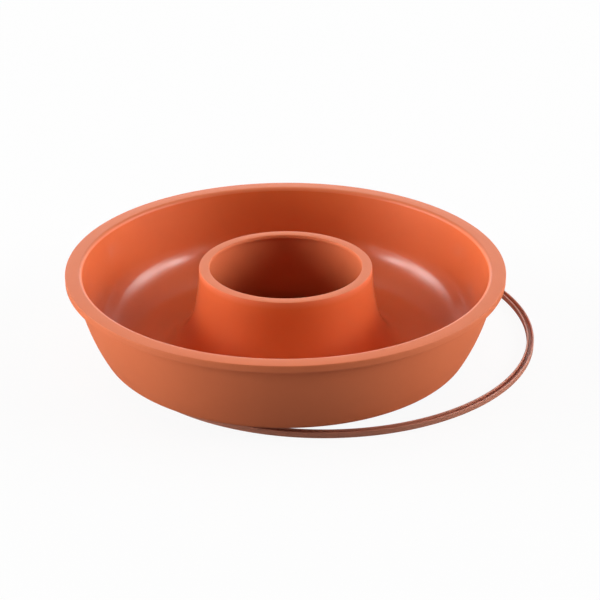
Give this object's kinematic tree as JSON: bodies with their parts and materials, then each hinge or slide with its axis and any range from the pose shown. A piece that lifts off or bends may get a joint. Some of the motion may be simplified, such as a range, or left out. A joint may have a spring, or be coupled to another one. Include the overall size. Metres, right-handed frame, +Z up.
{
  "type": "ring cake mould",
  "caption": "Round ring cake mould in flexible silicone with an open centre tube and a flat rim, beside the loose grooved hoop that clips under the rim to stiffen it.",
  "frame": {"origin": "on the table below the centre of the box around both pieces; the mould's own axis is at x -0.011513, y -0.014662", "axes": "+Z up along the mould's axis, from the foot to the rim; +X to the right and +Y away from the viewer of the picture"},
  "size_m": [0.283, 0.2894, 0.0594],
  "materials": {
    "silicone": "terracotta silicone, matte outside and satin on the cake's side",
    "nylon": "brown moulded nylon, satin"
  },
  "bodies": {
    "mould": {"ring_mould": "silicone"},
    "hoop": {"support_hoop": "nylon"}
  },
  "joints": [
    {"name": "hoop_slide", "type": "slide", "parent": "mould", "child": "hoop", "axis": [-0.6129, -0.7902, 0], "range_m": [0, 0.071]}
  ]
}
